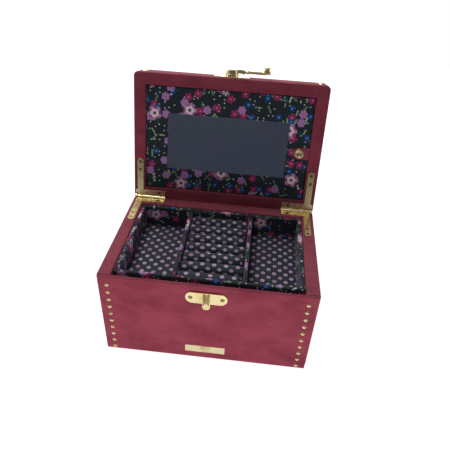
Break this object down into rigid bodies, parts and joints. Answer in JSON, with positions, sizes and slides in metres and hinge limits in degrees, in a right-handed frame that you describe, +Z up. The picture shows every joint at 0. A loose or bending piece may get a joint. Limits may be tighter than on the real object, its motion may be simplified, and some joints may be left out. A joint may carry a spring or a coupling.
{
  "type": "jewellery case",
  "caption": "Suede-wrapped jewellery case with a stopped hinged lid, lift-out tray with ring rolls, mirror door behind a snap tab and a key-shaped swing latch.",
  "frame": {"origin": "centre of the flat underside of the base, on the surface it stands on", "axes": "+X to the right of someone facing the clasp, +Y towards the hinges, +Z up"},
  "size_m": [0.21, 0.2112, 0.2493],
  "materials": {
    "suede": "napped, burgundy",
    "floral_fabric": "printed cotton, large flowers on near-black",
    "ditsy_fabric": "printed cotton, small flowers on near-black",
    "gold_brass": "polished",
    "mirror": "silvered glass"
  },
  "bodies": {
    "base": {"base_left_wall": "suede", "base_right_wall": "suede", "base_back_wall": "suede", "base_bottom_board": "suede", "front_panel": "suede", "front_nails": "gold_brass", "name_plate": "gold_brass", "clasp_base_plate": "gold_brass", "clasp_keeper": "gold_brass", "clasp_base_screws": "gold_brass", "base_lining_left": "floral_fabric", "base_lining_right": "floral_fabric", "base_lining_back": "floral_fabric", "base_lining_front": "floral_fabric", "lower_floor_pad": "ditsy_fabric", "hinge_base_leaf_left": "gold_brass", "hinge_base_leaf_right": "gold_brass", "hinge_pin_left": "gold_brass", "hinge_pin_right": "gold_brass", "hinge_base_screws": "gold_brass"},
    "tray": {"tray_floor": "floral_fabric", "tray_front_wall": "floral_fabric", "tray_back_wall": "floral_fabric", "tray_left_wall": "floral_fabric", "tray_right_wall": "floral_fabric", "tray_divider_left": "floral_fabric", "tray_divider_right": "floral_fabric", "tray_pad_left": "ditsy_fabric", "tray_pad_right": "ditsy_fabric", "ring_roll_1": "ditsy_fabric", "ring_roll_2": "ditsy_fabric", "ring_roll_3": "ditsy_fabric", "ring_roll_4": "ditsy_fabric", "ring_roll_5": "ditsy_fabric", "ring_roll_6": "ditsy_fabric", "ring_roll_7": "ditsy_fabric"},
    "lid": {"lid_left_wall": "suede", "lid_right_wall": "suede", "lid_front_wall": "suede", "lid_back_wall": "suede", "lid_top_board": "suede", "lid_nails": "gold_brass", "lid_lining_board": "floral_fabric", "lid_cavity_lining": "floral_fabric", "hinge_lid_leaf_left": "gold_brass", "hinge_lid_leaf_right": "gold_brass", "hinge_lid_screws": "gold_brass", "clasp_lid_plate": "gold_brass", "clasp_lid_screws": "gold_brass", "clasp_boss": "gold_brass", "mirror_hinge_tape": "floral_fabric"},
    "mirror_door": {"mirror_door": "floral_fabric", "mirror_glass": "mirror", "snap_stud": "gold_brass"},
    "snap_tab": {"snap_tab": "suede", "snap_cap": "gold_brass"},
    "latch_swivel": {"latch_swivel": "gold_brass", "latch_pin": "gold_brass"},
    "latch_arm": {"latch_arm": "gold_brass", "latch_knob": "gold_brass"}
  },
  "joints": [
    {"name": "lid_hinge", "type": "hinge", "parent": "base", "child": "lid", "pos_m": [0, 0.07, 0.1016], "axis": [-1, 0, 0], "range_deg": [-103.4, 0]},
    {"name": "tray_lift", "type": "slide", "parent": "base", "child": "tray", "axis": [0, 0, 1], "range_m": [0, 0.055]},
    {"name": "mirror_door", "type": "hinge", "parent": "lid", "child": "mirror_door", "pos_m": [-0.0914, 0.08875, 0.16909], "axis": [0, -0.2317, -0.9728], "range_deg": [0, 105], "deforming": ["snap_tab", "snap_cap"]},
    {"name": "snap_tab_fold", "type": "hinge", "parent": "lid", "child": "snap_tab", "pos_m": [0.092, 0.08662, 0.16621], "axis": [0, 0.2317, 0.9728], "range_deg": [0, 85]},
    {"name": "latch_swing", "type": "hinge", "parent": "lid", "child": "latch_swivel", "pos_m": [0, 0.1138, 0.23971], "axis": [0, -0.2317, -0.9728], "range_deg": [0, 90]},
    {"name": "latch_tilt", "type": "hinge", "parent": "latch_swivel", "child": "latch_arm", "pos_m": [0.012, 0.11433, 0.24195], "axis": [0, 0.9728, -0.2317], "range_deg": [0, 9]}
  ]
}
